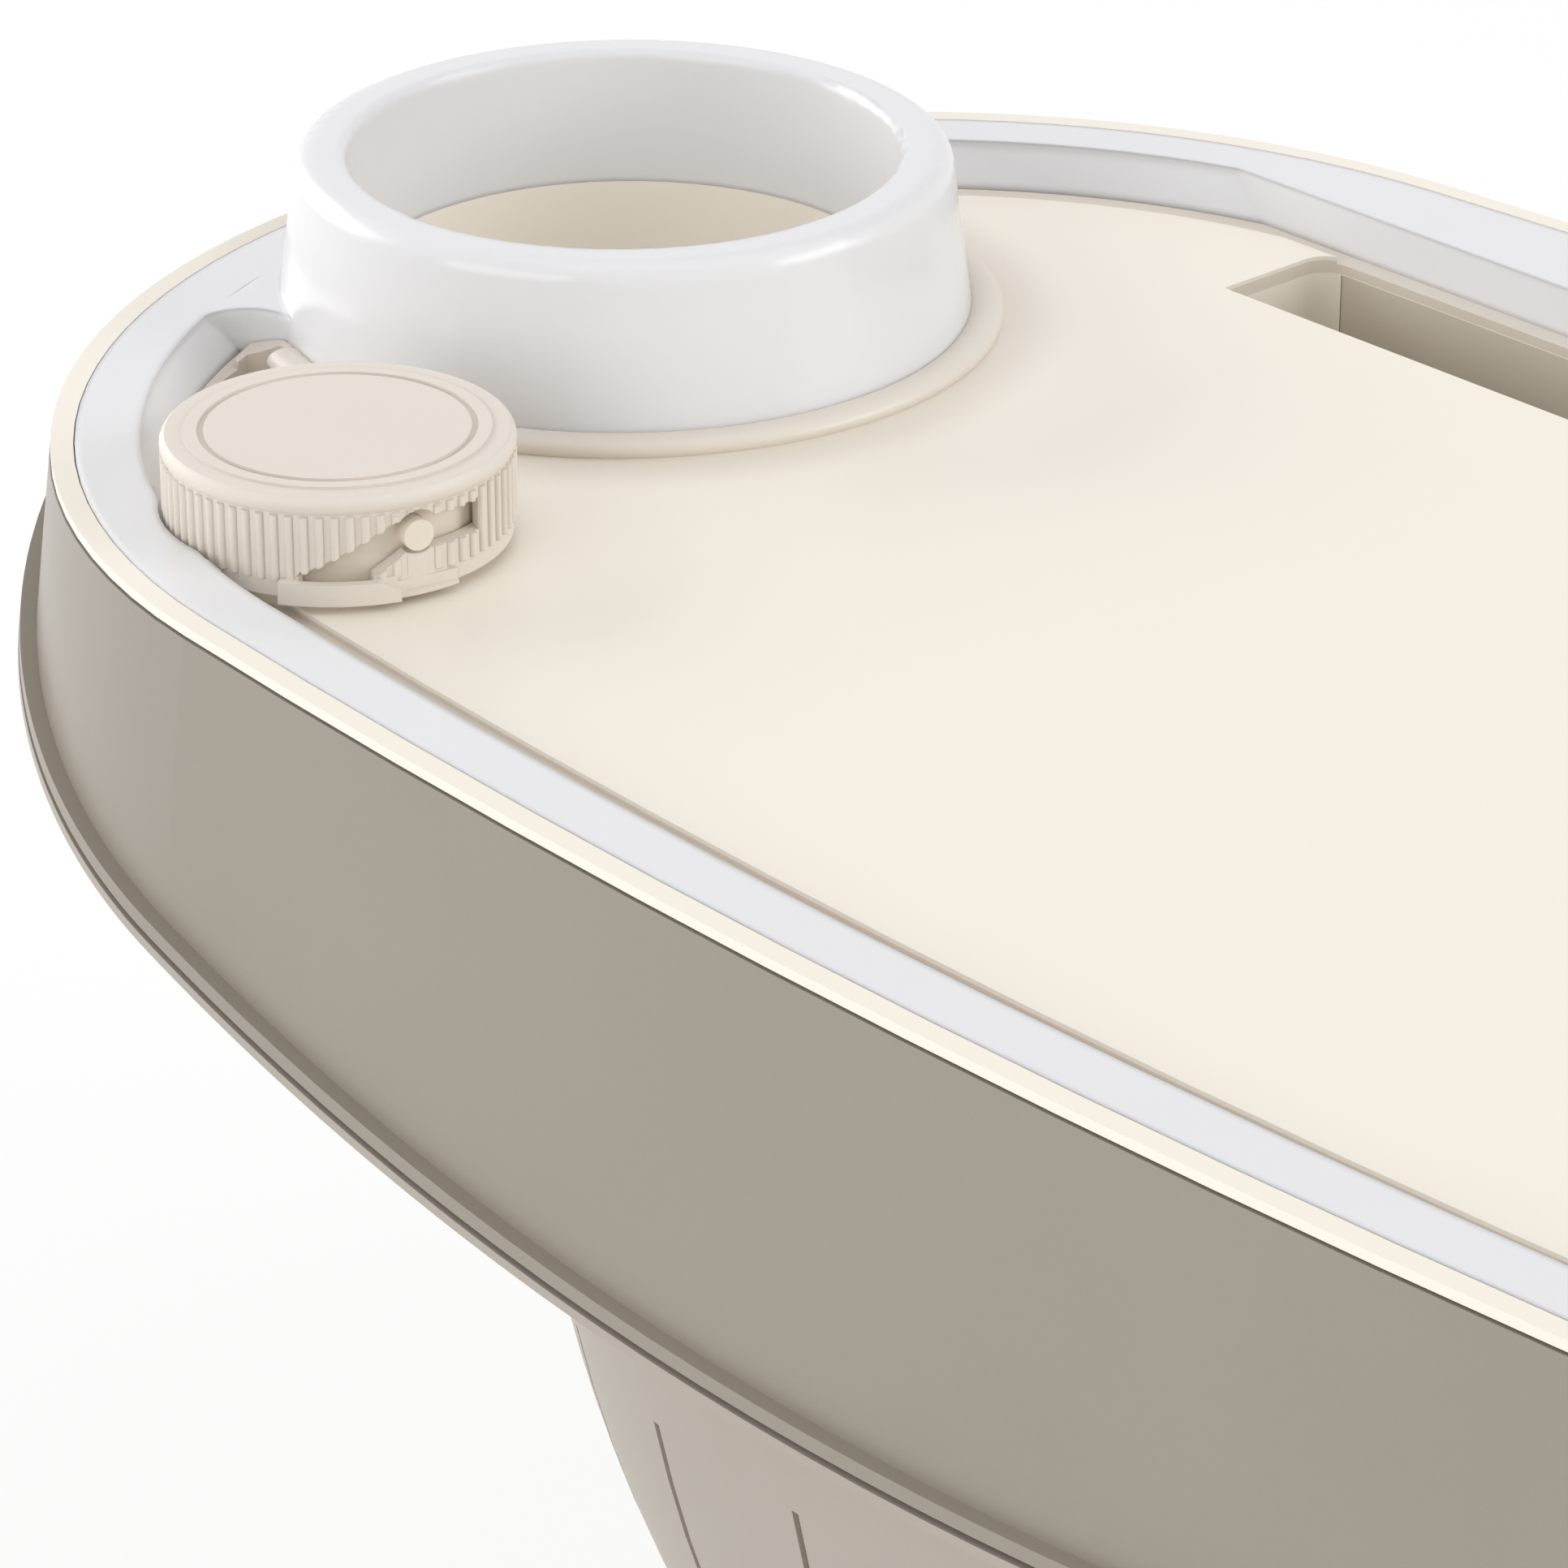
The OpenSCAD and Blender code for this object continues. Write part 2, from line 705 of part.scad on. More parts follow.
// Thin gasket between the rim and the outer wall
module rim_gasket() {
    color(dark_rubber) slab(wall_top, wall_top + gasket_t) difference() { oval(0.4); oval(wall_in - 0.3); }
}

// Rubber seal in the groove of the lip
module lip_seal() {
    color(dark_rubber) wall_band(0.8, wall_t - 0.3) lip_slice(0, groove_w);
}

// Plan of one bayonet slot, unrolled square to the cap's side
module slot_plan() {
    mid = (mouth_left_angle + slot_end_angle) / 2;
    function across(a) = skin_r * sin(a - mid);
    low = pin_z - slot_h / 2;
    high = pin_z + slot_h / 2;
    pocket_r = pin_r + 1;
    polygon([
        [across(mouth_left_angle), mouth_z], [across(mouth_right_angle), mouth_z],
        [across(pin_angle - 4.5), low], [across(slot_end_angle), low],
        [across(slot_end_angle), high], [across(pin_angle - 8), high]
    ]);
    translate([across(pin_angle), pin_z + 0.4]) circle(pocket_r, $fn = 48);
}

module slot_cut() {
    mid = (mouth_left_angle + slot_end_angle) / 2;
    rotate(mid) translate([neck_r * 0.6, 0, 0]) rotate([90, 0, 90]) linear_extrude(cap_r)
        slot_plan();
}

// Bulged bridge that closes the skirt below the slot's mouth, and the lower tab beside it
module slot_bridge() {
    span = mouth_right_angle - mouth_left_angle + 12;
    rotate(mouth_left_angle - 5) rotate_extrude(angle = span)
        translate([skin_r - 0.6, cap_foot - 0.4]) square([2.5, 3.4]);
    rotate(mouth_right_angle + 6) rotate_extrude(angle = 22.6)
        translate([skin_r - 0.9, cap_foot - 0.3]) square([1.8, 2.4]);
}

// Way behind the bridge for a pin
module pin_way() {
    rotate(mouth_left_angle + 1) rotate_extrude(angle = mouth_right_angle - mouth_left_angle - 2)
        translate([skin_r - skirt_t - 0.6, cap_foot - 2]) square([skirt_t + 1.2, 6]);
}

module twist_cap() {
    top_t = 2.2;
    edge = 1.8;
    plug_r = tube_bore_r - 0.9;
    plug_h = cap_top - top_t - plug_z;
    color(cream) at_cap(0) {
        difference() {
            union() {
                rotate_extrude() difference() {
                    union() {
                        translate([0, cap_foot]) square([skin_r, cap_top - edge - cap_foot]);
                        translate([0, cap_top - edge]) square([skin_r - edge + rib_d, edge]);
                        translate([skin_r - edge + rib_d, cap_top - edge]) circle(edge, $fn = 48);
                    }
                    translate([cap_disc_r, cap_top - 0.5]) square([0.9, 1]);
                    translate([cap_disc_r + 3, cap_top - 0.3]) square([far, 1]);
                    translate([-1, -1]) square([neck_r + skirt_gap + 1, cap_top - top_t + 1]);
                }
                for (i = [0:rib_places - 1])
                    rotate(i * 360 / rib_places) translate([skin_r, 0, cap_foot + 2.6])
                        cylinder(r = rib_d, h = cap_top - cap_foot - 6, $fn = 24);
                for (i = [0:bayonet_count - 1]) rotate(i * 360 / bayonet_count) slot_bridge();
            }
            for (i = [0:bayonet_count - 1]) rotate(i * 360 / bayonet_count) {
                slot_cut();
                pin_way();
                rotate(pin_angle) translate([skin_r, 0, 0]) rotate([90, 0, 90])
                    linear_extrude(4) polygon([
                        [-9, 6], [-9, 13], [-2, cap_top - 3.6], [3, cap_top - 3.6],
                        [12, cap_top - 4.6], [12, 2], [-2, 2]
                    ]);
            }
        }
        translate([0, 0, plug_z]) rotate_extrude() difference() {
            translate([plug_r - 2.6, 0]) square([2.6, plug_h + eps]);
            translate([seal_mid_r - seal_r - 0.05, seal_z - seal_r - 0.1 - plug_z]) square([4, 2 * seal_r + 0.2]);
        }
    }
}

module cap_seal() {
    color(dark_rubber) at_cap(seal_z) rotate_extrude() translate([seal_mid_r, 0]) circle(seal_r, $fn = 48);
}

module cap_contact() {
    color(brass) at_cap(0) rotate_extrude() polygon([
        [0, cap_top - 2.2], [8, cap_top - 2.2], [8, cap_top - 2.6], [4.2, cap_top - 2.6],
        [2.6, neck_h - 1.1], [0, neck_h - 1.1]
    ]);
}

// Sealed battery tube with the neck and bayonet pins, its flange cut clear of the light channel
module battery_tube() {
    color(cream) difference() {
        union() {
            at_cap(0) cylinder(r = neck_r, h = neck_h);
            at_cap(-floor_t - eps) cylinder(r = neck_r, h = floor_t + 1);
            at_cap(-tube_depth - tube_t) cylinder(r = tube_bore_r + tube_t, h = tube_depth + tube_t);
            at_cap(0) for (i = [0:bayonet_count - 1]) rotate(pin_angle + i * 360 / bayonet_count)
                translate([0, 0, pin_z]) rotate([0, 90, 0]) cylinder(r = pin_r, h = cap_r - 0.2, $fn = 48);
            intersection() {
                at_cap(-floor_t - 2) cylinder(r = neck_r + tube_flange, h = 2);
                slab(-floor_t - 3, 0) oval(channel_in + channel_t + 0.3);
            }
        }
        at_cap(-tube_depth) cylinder(r = tube_bore_r, h = tube_depth + neck_h + 1);
    }
}

carrier_low = 1.4;
spring_h = 2.6;
cell_low = -tube_depth + 3 + carrier_low + spring_h;
cell_ring_r = 2 * cell_r / sqrt(3);

module battery_carrier() {
    color([0.18, 0.18, 0.19]) at_cap(0) {
        translate([0, 0, -tube_depth]) cylinder(r = 3, h = 3 + eps);
        translate([0, 0, -tube_depth + 3]) cylinder(r = tube_bore_r - 0.5, h = carrier_low);
        translate([0, 0, -tube_depth + 3])
            cylinder(r = cell_ring_r - cell_r - 0.1, h = carrier_low + spring_h + cell_l + eps);
        translate([0, 0, cell_low + cell_l]) cylinder(r = tube_bore_r - 4, h = 1);
    }
}

module cell(index) {
    at_cap(cell_low) rotate(90 + 120 * index) translate([cell_ring_r, 0, 0]) {
        color([0.25, 0.45, 0.35]) cylinder(r = cell_r - 0.05, h = cell_l - 1);
        color(steel) cylinder(r = 2.7, h = cell_l);
    }
}

// One conical spring drawn as closed coils joined by a short upright wire
module coil_spring(r_low, r_high, height, coils, wire_r) {
    rise = (height - 2 * wire_r) / (coils - 1);
    for (i = [0:coils - 1])
        translate([0, 0, wire_r + i * rise]) rotate_extrude()
            translate([r_low + (r_high - r_low) * i / (coils - 1), 0]) circle(wire_r, $fn = 24);
    for (i = [0:coils - 2]) {
        r = r_low + (r_high - r_low) * i / (coils - 1);
        slant = atan2((r_high - r_low) / (coils - 1), rise);
        rotate(90 * i) translate([r, 0, wire_r + i * rise]) rotate([0, slant, 0])
            cylinder(r = wire_r, h = rise / cos(slant), $fn = 24);
    }
}

module cell_springs() {
    color(steel) for (i = [0:2]) at_cap(cell_low - spring_h)
        rotate(90 + 120 * i) translate([cell_ring_r, 0, 0])
        coil_spring(4.6, 2.2, spring_h, 4, 0.25);
}

// Flexible lamp strip along the channel
module lamp_strip() {
    color([0.95, 0.95, 0.93]) slab(channel_floor_z, channel_floor_z + strip_t) difference() {
        oval(rim_w + 2.8);
        oval(rim_w + 2.8 + strip_w);
    }
}

module lamp() {
    translate([0, 0, deck_z + channel_floor_z + strip_t]) {
        translate([-1.75, -2.5, 0]) cube([3.5, 5, 1.2]);
    }
}

module lamps() {
    lamp_in = rim_w + 2.8 + strip_w / 2;
    color([1, 0.96, 0.80]) for (turn = [0, 180]) rotate(turn) {
        for (i = [0:end_lamps - 1])
            translate([end_cx, 0, 0]) rotate(-join_angle + 2 * join_angle * (i + 0.5) / end_lamps)
                translate([end_r - lamp_in, 0, 0]) lamp();
        for (i = [0:side_lamps - 1])
            translate([0, tray_half_wid - side_r, 0])
                rotate(join_angle + (180 - 2 * join_angle) * (i + 0.5) / side_lamps)
                translate([side_r - lamp_in, 0, 0]) lamp();
    }
}

module driver_board() {
    color([0.10, 0.35, 0.20]) difference() {
        translate([board_x - board_l / 2, board_y - board_w / 2, deck_z + board_z])
            cube([board_l, board_w, board_t]);
        for (side = [-1, 1])
            translate([board_x + side * (board_l / 2 - 4), board_y, deck_z + board_z - 1])
                cylinder(r = 1.2, h = board_t + 2);
    }
}

module board_parts() {
    translate([board_x, board_y, deck_z + board_z]) {
        color([0.12, 0.12, 0.13]) translate([-5, -5, -1.6]) cube([10, 10, 1.6]);
        color([0.15, 0.20, 0.45]) translate([11, 3, -8]) cylinder(r = 3.2, h = 8);
        color([0.12, 0.12, 0.13]) translate([-14, -7, -2.4]) cube([6, 5, 2.4]);
        color([0.80, 0.72, 0.55]) translate([9, -7, -1]) cube([4, 2, 1]);
    }
}

module supply_leads() {
    start_x = -cap_x + tube_bore_r + tube_t;
    for (side = [-1, 1])
        color(side > 0 ? [0.75, 0.15, 0.12] : [0.12, 0.12, 0.13])
            translate([start_x - 0.6, board_y + side * lead_apart, deck_z + board_z - lead_r])
            rotate([0, 90, 0]) cylinder(r = lead_r, h = board_x - board_l / 2 + 3 - start_x + 0.6, $fn = 24);
}

module strip_lead(side, r) {
    x = board_x + side * 3;
    far_y = -(tray_half_wid - side_r + sqrt(side_r * side_r - x * x)) + rim_w + 2.8 + 1.5;
    translate([x, board_y - board_w / 2 + 3, deck_z + channel_floor_z + strip_t + lead_r])
        rotate([90, 0, 0]) cylinder(r = r, h = board_y - board_w / 2 + 3 - far_y, $fn = 24);
}

module strip_leads() {
    for (side = [-1, 1]) color([0.85, 0.85, 0.83]) strip_lead(side, lead_r);
}

// Screws that draw the hull up to the deck
module case_screws() {
    color(steel) for (p = posts) translate([p[0], p[1], deck_z + post_seat_z]) {
        translate([0, 0, -head_h]) cylinder(r = screw_head_r, h = head_h);
        cylinder(r = screw_r - 0.15, h = 10);
    }
}

module board_screws() {
    color(steel) for (side = [-1, 1])
        translate([board_x + side * (board_l / 2 - 4), board_y, deck_z + board_z]) {
            translate([0, 0, -1.2]) cylinder(r = 2, h = 1.2);
            cylinder(r = 0.85, h = 4.6);
        }
}

deck();
cup_well();
storage_trough();
light_ring();
outer_wall();
lower_hull();  // hull
rim_gasket();
lip_seal();
twist_cap();
cap_seal();
cap_contact();
battery_tube();
battery_carrier();
cell(0);  // cell_1
cell(1);  // cell_2
cell(2);  // cell_3
cell_springs();
lamp_strip();
lamps();
driver_board();
board_parts();
supply_leads();
strip_leads();
case_screws();
board_screws();
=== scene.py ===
from math import cos, radians, sin

import bpy
from mathutils import Matrix, Vector


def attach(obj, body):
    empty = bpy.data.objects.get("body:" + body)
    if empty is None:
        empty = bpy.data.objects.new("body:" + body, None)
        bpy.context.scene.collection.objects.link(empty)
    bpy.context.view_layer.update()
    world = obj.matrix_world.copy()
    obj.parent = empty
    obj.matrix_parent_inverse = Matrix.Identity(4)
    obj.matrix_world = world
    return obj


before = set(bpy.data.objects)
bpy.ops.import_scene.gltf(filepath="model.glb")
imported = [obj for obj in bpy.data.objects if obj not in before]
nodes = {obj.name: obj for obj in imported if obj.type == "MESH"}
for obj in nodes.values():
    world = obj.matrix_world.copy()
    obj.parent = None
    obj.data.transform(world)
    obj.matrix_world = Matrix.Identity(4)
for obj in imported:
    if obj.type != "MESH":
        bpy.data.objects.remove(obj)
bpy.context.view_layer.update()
print("frame loaded,", len(nodes), "nodes")


class Value:
    # wraps one socket, so that sums on it add Math nodes
    def __init__(self, recipe, socket):
        self.recipe = recipe
        self.socket = socket

    def maths(self, operation, first, second):
        return self.recipe.add("ShaderNodeMath", {"operation": operation}, [first, second])

    def __add__(self, other):
        return self.maths("ADD", self, other)

    def __radd__(self, other):
        return self.maths("ADD", other, self)

    def __mul__(self, other):
        return self.maths("MULTIPLY", self, other)

    def __rmul__(self, other):
        return self.maths("MULTIPLY", other, self)


class Recipe:
    # one material with its Principled shader
    def __init__(self, name):
        self.material = bpy.data.materials.new(name)
        self.material.use_nodes = True
        self.tree = self.material.node_tree
        self.tree.nodes.clear()
        self.output = self.tree.nodes.new("ShaderNodeOutputMaterial")
        self.shader = self.tree.nodes.new("ShaderNodeBsdfPrincipled")
        self.tree.links.new(self.shader.outputs[0], self.output.inputs["Surface"])

    def add(self, kind, settings=None, values=None, out=0):
        node = self.tree.nodes.new(kind)
        for key, setting in (settings or {}).items():
            setattr(node, key, setting)
        pairs = values.items() if isinstance(values, dict) else enumerate(values or [])
        for key, value in pairs:
            self.feed(node.inputs[key], value)
        return Value(self, node.outputs[out])

    def feed(self, socket, value):
        if isinstance(value, Value):
            self.tree.links.new(value.socket, socket)
        elif value is not None:
            socket.default_value = value

    def finish(self, values):
        for key, value in values.items():
            self.feed(self.shader.inputs[key], value)
        return self.material

    def place(self):
        return self.add("ShaderNodeTexCoord", out=3)

    def noise(self, scale, detail=2.0, roughness=0.5):
        return self.add("ShaderNodeTexNoise", {}, {"Vector": self.place(), "Scale": scale,
                        "Detail": detail, "Roughness": roughness})

    def between(self, axis, low, high):
        # 1 where the place along the axis lies between two heights
        parts = self.add("ShaderNodeSeparateXYZ", {}, [self.place()], out="XYZ".index(axis))
        above = self.add("ShaderNodeMath", {"operation": "GREATER_THAN"}, [parts, low])
        below = self.add("ShaderNodeMath", {"operation": "LESS_THAN"}, [parts, high])
        return above * below

    def nearness(self, centre, near, far):
        # 1 within the near radius of an upright line, fading to 0 at the far one
        offset = self.add("ShaderNodeVectorMath", {"operation": "SUBTRACT"}, [self.place(), centre])
        level = self.add("ShaderNodeVectorMath", {"operation": "MULTIPLY"}, [offset, (1, 1, 0)])
        reach = self.add("ShaderNodeVectorMath", {"operation": "LENGTH"}, [level], out=1)
        return self.add("ShaderNodeMapRange", {"interpolation_type": "SMOOTHSTEP"},
                        {"Value": reach, "From Min": near, "From Max": far, "To Min": 1.0, "To Max": 0.0})

    def blend(self, share, first, second):
        return self.add("ShaderNodeMix", {"data_type": "RGBA"}, {0: share, 6: first, 7: second}, out=2)

    def rounded(self, radius):
        # softens sharp moulded edges in the shading
        return self.add("ShaderNodeBevel", {"samples": 4}, {"Radius": radius}) if radius else None


def srgb(red, green, blue):
    def linear(v):
        v = v / 255
        return v / 12.92 if v <= 0.04045 else ((v + 0.055) / 1.055) ** 2.4
    return (linear(red), linear(green), linear(blue), 1.0)


mould = {"cloudRoughness": 0.06, "grainRoughness": 0.05, "grainDepth": 0.00004, "bending": 1.49,
         "coatRoughness": 0.08}


def mouldedPlastic(name, look):
    # fine spark-eroded grain, faint flow clouds, softened edges and, where the look lists it, painted
    # shade
    recipe = Recipe(name)
    grain = recipe.noise(look["grainScale"], 3.0, 0.6)
    clouds = recipe.noise(look["cloudScale"])
    share = clouds * look["cloudShare"] + grain * look["grainShare"]
    colour = recipe.blend(share, look["colour"], look["shade"])
    # painted shade in a height band, darkening the deck's gutter at the ring's foot
    if "paintedShadeBand" in look:
        colour = recipe.blend(recipe.between("Z", *look["paintedShadeBandHeights"]), colour, look["paintedShadeBand"])
    # painted shade round an upright line, darkening the deck round the collar's foot
    if "paintedShadeHalo" in look:
        colour = recipe.blend(recipe.nearness(*look["paintedShadeHaloReach"]), colour, look["paintedShadeHalo"])
    roughness = look["roughness"] + clouds * mould["cloudRoughness"] + grain * mould["grainRoughness"]
    edge = recipe.rounded(look["edge"])
    bump = recipe.add("ShaderNodeBump", {}, {"Strength": look["bump"], "Distance": mould["grainDepth"],
                      "Height": grain, "Normal": edge})
    return recipe.finish({"Base Color": colour, "Roughness": roughness, "Normal": bump,
                          "IOR": mould["bending"], "Coat Weight": look["coat"],
                          "Coat Roughness": mould["coatRoughness"]})


drawn = {"cloudScale": 220.0, "cloudShare": 0.5, "scratchRoughness": 0.16, "bump": 0.2,
         "scratchDepth": 0.00002}


def metalFinish(name, look):
    # drawn or stamped metal with fine scratches
    recipe = Recipe(name)
    scratches = recipe.noise(look["grainScale"], 4.0, 0.7)
    clouds = recipe.noise(drawn["cloudScale"])
    colour = recipe.blend(clouds * drawn["cloudShare"], look["colour"], look["shade"])
    roughness = look["roughness"] + scratches * drawn["scratchRoughness"]
    bump = recipe.add("ShaderNodeBump", {}, {"Strength": drawn["bump"], "Distance": drawn["scratchDepth"],
                      "Height": scratches})
    return recipe.finish({"Base Color": colour, "Roughness": roughness, "Normal": bump, "Metallic": 1.0})


creamLook = {"colour": srgb(247, 240, 229), "shade": srgb(241, 234, 221), "grainScale": 2600.0,
             "cloudScale": 18.0, "cloudShare": 0.6, "grainShare": 0.35, "roughness": 0.3, "edge": 0.0007,
             "bump": 0.2, "coat": 0.0}
cupCentre = (-0.199, 0.003, 0)
# painted shade: the gutter at the ring's foot and the rise to the collar are painted a shade darker
deckLook = dict(creamLook, paintedShadeBand=srgb(222, 213, 200), paintedShadeBandHeights=(0.1872, 0.18935), edge=0,
                paintedShadeHalo=srgb(226, 217, 205), paintedShadeHaloReach=(cupCentre, 0.0585, 0.0720))
# painted shade: the collar step is the deck's cream painted darker, standing in for the shade on its face
shadedStepLook = dict(creamLook, colour=srgb(226, 218, 207), shade=srgb(218, 210, 198), edge=0)
wallLook = {"colour": srgb(154, 146, 135), "shade": srgb(145, 138, 126), "grainScale": 2200.0,
            "cloudScale": 22.0, "cloudShare": 0.6, "grainShare": 0.4, "roughness": 0.3, "edge": 0,
            "bump": 0.4, "coat": 0.0}
hullLook = dict(wallLook, colour=srgb(175, 167, 156), shade=srgb(167, 159, 148), roughness=0.42)
troughLook = dict(wallLook, colour=srgb(212, 204, 190), shade=srgb(204, 195, 181), roughness=0.4)
ringLook = {"colour": srgb(231, 231, 233), "shade": srgb(224, 224, 227), "grainScale": 900.0,
            "cloudScale": 30.0, "cloudShare": 0.5, "grainShare": 0.1, "roughness": 0.16, "edge": 0.0018,
            "bump": 0.02, "coat": 0.3}
capLook = dict(creamLook, colour=srgb(230, 222, 212), shade=srgb(222, 213, 202), grainScale=1800.0,
               roughness=0.42, bump=0.5, coat=0.0, edge=0.0003)
tubeLook = dict(creamLook, colour=srgb(236, 227, 213), shade=srgb(228, 218, 202), roughness=0.38, edge=0)
sealLook = dict(wallLook, colour=srgb(96, 90, 82), shade=srgb(82, 77, 70), roughness=0.62, edge=0)
carrierLook = dict(wallLook, colour=srgb(44, 44, 46), shade=srgb(36, 36, 38), roughness=0.5, edge=0)
cellLook = dict(wallLook, colour=srgb(60, 104, 84), shade=srgb(52, 92, 74), roughness=0.22, coat=0.5,
                bump=0.05, edge=0)
filmLook = dict(creamLook, colour=srgb(244, 244, 240), shade=srgb(234, 234, 230), roughness=0.5, edge=0)
lampLook = dict(ringLook, colour=srgb(250, 240, 196), shade=srgb(246, 230, 170), edge=0)
boardLook = dict(wallLook, colour=srgb(30, 92, 56), shade=srgb(24, 78, 46), roughness=0.25, coat=0.4,
                 edge=0)
leadLook = dict(wallLook, colour=srgb(176, 40, 32), shade=srgb(160, 32, 26), roughness=0.4, edge=0)

finishes = {
    "deckPlastic": (mouldedPlastic, deckLook, ["deck"]),
    "wellPlastic": (mouldedPlastic, dict(creamLook, edge=0), ["cup_well"]),
    "wallPlastic": (mouldedPlastic, wallLook, ["outer_wall"]),
    "hullPlastic": (mouldedPlastic, hullLook, ["hull"]),
    "troughPlastic": (mouldedPlastic, troughLook, ["storage_trough"]),
    "ringPlastic": (mouldedPlastic, ringLook, ["light_ring"]),
    "capPlastic": (mouldedPlastic, capLook, ["twist_cap"]),
    "tubePlastic": (mouldedPlastic, tubeLook, ["battery_tube"]),
    "sealRubber": (mouldedPlastic, sealLook, ["rim_gasket", "lip_seal", "cap_seal"]),
    "carrierPlastic": (mouldedPlastic, carrierLook, ["battery_carrier"]),
    "cellJacket": (mouldedPlastic, cellLook, ["cell_1", "cell_2", "cell_3"]),
    "stripFilm": (mouldedPlastic, filmLook, ["lamp_strip", "strip_leads"]),
    "lampResin": (mouldedPlastic, lampLook, ["lamps"]),
    "boardLaminate": (mouldedPlastic, boardLook, ["driver_board"]),
    "chipPlastic": (mouldedPlastic, carrierLook, ["board_parts"]),
    "leadJacket": (mouldedPlastic, leadLook, ["supply_leads"]),
    "contactBrass": (metalFinish, {"colour": srgb(214, 180, 110), "shade": srgb(196, 160, 92),
                                   "grainScale": 3200.0, "roughness": 0.22}, ["cap_contact"]),
    "platedSteel": (metalFinish, {"colour": srgb(200, 202, 206), "shade": srgb(182, 184, 190),
                                  "grainScale": 3600.0, "roughness": 0.24},
                    ["cell_springs", "case_screws", "board_screws"]),
}
for name, (maker, look, members) in finishes.items():
    material = maker(name, look)
    for member in members:
        slots = nodes[member].data.materials
        slots.clear()
        slots.append(material)
print("finishes on")

stepForm = {"radius": 0.0567, "height": 0.1912, "halfWide": 0.0029, "halfHigh": 0.0019,
            "from": -109.0, "to": 112.0, "sides": 28, "steps": 110, "smoothUpTo": 40}


def collarStep():
    # rounded step on the deck round the foot of the cup collar
    bpy.ops.object.select_all(action="DESELECT")
    start = radians(stepForm["from"])
    bpy.ops.mesh.primitive_circle_add(
        vertices=stepForm["sides"], radius=1, fill_type="NGON", rotation=(radians(90), 0, start),
        location=(cupCentre[0] + stepForm["radius"] * cos(start),
                  cupCentre[1] + stepForm["radius"] * sin(start), stepForm["height"]))
    step = bpy.context.object
    step.name = "collar_step"
    step.scale = (stepForm["halfWide"], stepForm["halfHigh"], 1)
    bpy.ops.object.transform_apply(location=True, rotation=True, scale=True)
    bpy.ops.object.mode_set(mode="EDIT")
    bpy.ops.mesh.select_all(action="SELECT")
    bpy.ops.mesh.spin(steps=stepForm["steps"], angle=radians(stepForm["from"] - stepForm["to"]),
                      center=cupCentre, axis=(0, 0, 1))
    bpy.ops.mesh.select_all(action="SELECT")
    bpy.ops.mesh.normals_make_consistent(inside=False)
    bpy.ops.object.mode_set(mode="OBJECT")
    bpy.ops.object.shade_smooth_by_angle(angle=radians(stepForm["smoothUpTo"]))
    step.data.materials.append(mouldedPlastic("shadedStepPlastic", shadedStepLook))
    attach(step, "tray")
    return step


step = collarStep()
print("collar step", len(step.data.polygons), "faces")

floorLook = {"size": 4.0, "height": -0.0005, "white": srgb(252, 252, 252), "roughness": 0.9,
             "shadowShare": 0.16}


def studioFloor():
    bpy.ops.object.select_all(action="DESELECT")
    bpy.ops.mesh.primitive_plane_add(size=floorLook["size"], location=(0, 0, floorLook["height"]))
    floor = bpy.context.object
    floor.name = "floor"
    recipe = Recipe("floorPaper")
    tree = recipe.tree
    recipe.finish({"Base Color": floorLook["white"], "Roughness": floorLook["roughness"]})
    glow = recipe.add("ShaderNodeEmission", {}, {"Color": (1, 1, 1, 1), "Strength": 1.0})
    path = tree.nodes.new("ShaderNodeLightPath")
    camera = Value(recipe, path.outputs["Is Camera Ray"])
    glossy = Value(recipe, path.outputs["Is Glossy Ray"])
    through = Value(recipe, path.outputs["Is Transmission Ray"])
    share = recipe.add("ShaderNodeMath", {"operation": "MAXIMUM"}, [camera, glossy])
    share = recipe.add("ShaderNodeMath", {"operation": "MAXIMUM"}, [share, through])
    mix = recipe.add("ShaderNodeMixShader", {}, {0: share * (1 - floorLook["shadowShare"]), 2: glow})
    tree.links.new(recipe.shader.outputs[0], mix.socket.node.inputs[1])
    tree.links.new(mix.socket, recipe.output.inputs["Surface"])
    floor.data.materials.append(recipe.material)
    bpy.ops.object.transform_apply(location=True, rotation=True, scale=True)


studioFloor()
print("floor laid")

lamps = [
    # name, place, aimed at, width, height, power
    ("overheadBox", (0.2, 0.2, 2.4), (0, 0, 0.2), 2.6, 2.2, 11.0),
    ("rightBox", (2.0, 1.4, 1.3), (0, 0, 0.2), 1.6, 1.4, 28.0),
    ("leftBox", (-2.3, -0.55, 0.85), (-0.2, 0, 0.15), 2.2, 1.5, 31.0),
    ("frontBox", (0.2, -2.4, 0.95), (0, 0, 0.15), 2.0, 1.6, 22.0),
    ("glintBox", (0.9, 1.2, 1.6), (-0.2, 0, 0.2), 0.16, 0.16, 0.7),
]


def softBox(name, place, aim, width, height, power):
    data = bpy.data.lights.new(name, "AREA")
    data.shape = "RECTANGLE"
    data.size = width
    data.size_y = height
    data.energy = power
    lamp = bpy.data.objects.new(name, data)
    lamp.location = place
    lamp.rotation_euler = (Vector(aim) - Vector(place)).to_track_quat("-Z", "Y").to_euler()
    bpy.context.scene.collection.objects.link(lamp)


for lamp in lamps:
    softBox(*lamp)


worldLook = {"dim": 0.48, "white": 1.0}


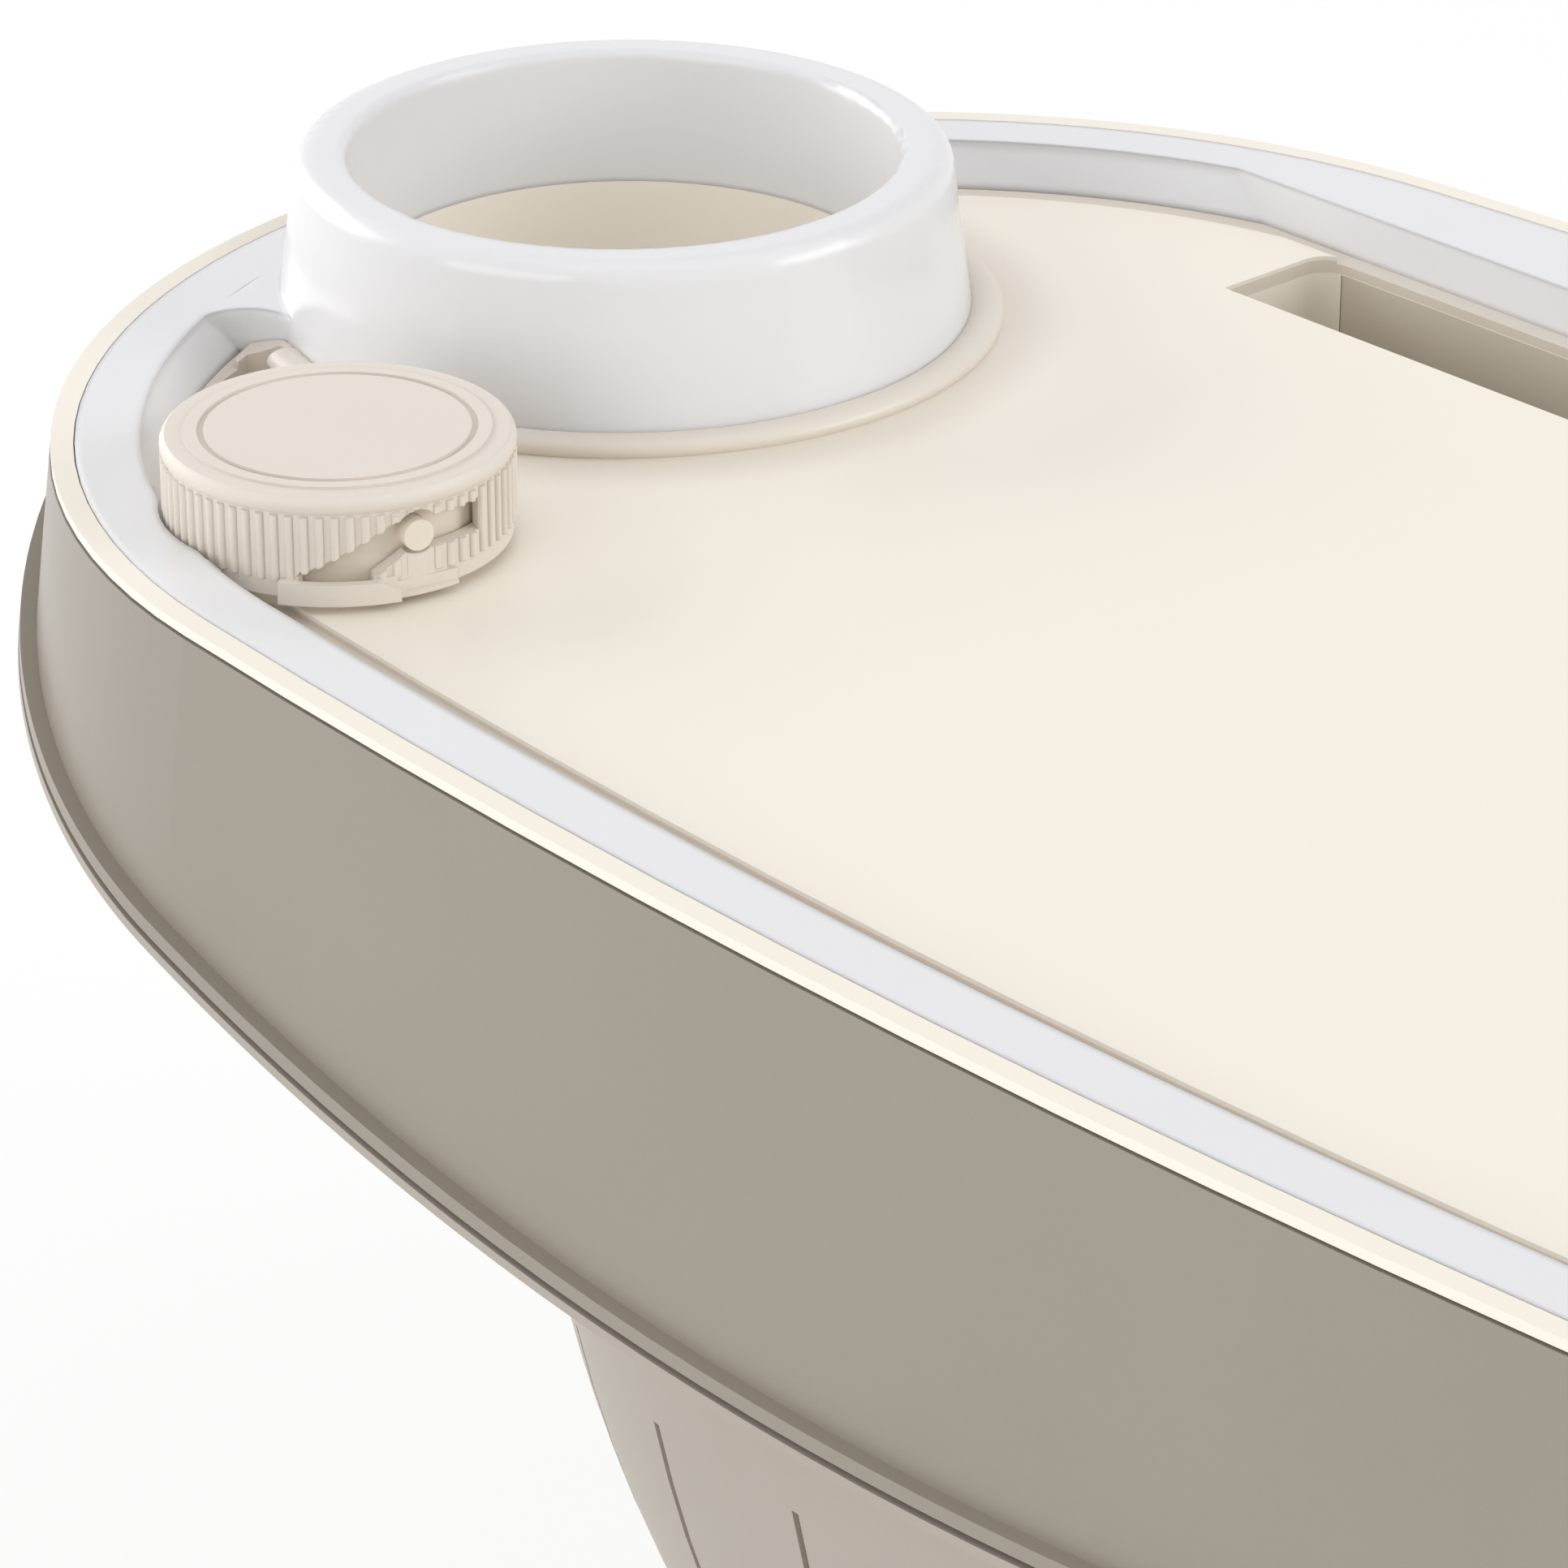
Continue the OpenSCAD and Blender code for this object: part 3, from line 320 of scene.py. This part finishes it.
def studioWorld():
    world = bpy.data.worlds.new("studio")
    bpy.context.scene.world = world
    world.use_nodes = True
    tree = world.node_tree
    tree.nodes.clear()
    output = tree.nodes.new("ShaderNodeOutputWorld")
    dim = tree.nodes.new("ShaderNodeBackground")
    dim.inputs["Color"].default_value = (1, 1, 1, 1)
    dim.inputs["Strength"].default_value = worldLook["dim"]
    white = tree.nodes.new("ShaderNodeBackground")
    white.inputs["Color"].default_value = (1, 1, 1, 1)
    white.inputs["Strength"].default_value = worldLook["white"]
    path = tree.nodes.new("ShaderNodeLightPath")
    mix = tree.nodes.new("ShaderNodeMixShader")
    share = path.outputs["Is Camera Ray"]
    for kind in ("Is Glossy Ray", "Is Transmission Ray"):
        either = tree.nodes.new("ShaderNodeMath")
        either.operation = "MAXIMUM"
        tree.links.new(share, either.inputs[0])
        tree.links.new(path.outputs[kind], either.inputs[1])
        share = either.outputs[0]
    tree.links.new(share, mix.inputs[0])
    tree.links.new(dim.outputs[0], mix.inputs[1])
    tree.links.new(white.outputs[0], mix.inputs[2])
    tree.links.new(mix.outputs[0], output.inputs["Surface"])


studioWorld()
bpy.context.scene.view_settings.view_transform = "Standard"
print("lights up")

cameraLook = {"place": (0.5233, -0.6173, 0.57275), "turn": 47.84, "dip": 26.06, "lens": 149.07,
              "sensor": 36, "near": 0.01, "far": 60}


def photoCamera():
    turn, dip = radians(cameraLook["turn"]), radians(cameraLook["dip"])
    right = Vector((cos(turn), sin(turn), 0))
    ahead = Vector((-sin(turn) * cos(dip), cos(turn) * cos(dip), -sin(dip)))
    up = right.cross(ahead)
    data = bpy.data.cameras.new("photoCamera")
    data.sensor_width = cameraLook["sensor"]
    data.lens = cameraLook["lens"]
    data.clip_start = cameraLook["near"]
    data.clip_end = cameraLook["far"]
    camera = bpy.data.objects.new("photoCamera", data)
    turned = Matrix((right, up, -ahead)).transposed().to_4x4()
    camera.matrix_world = Matrix.Translation(cameraLook["place"]) @ turned
    bpy.context.scene.collection.objects.link(camera)
    bpy.context.scene.camera = camera


photoCamera()
print("camera set")
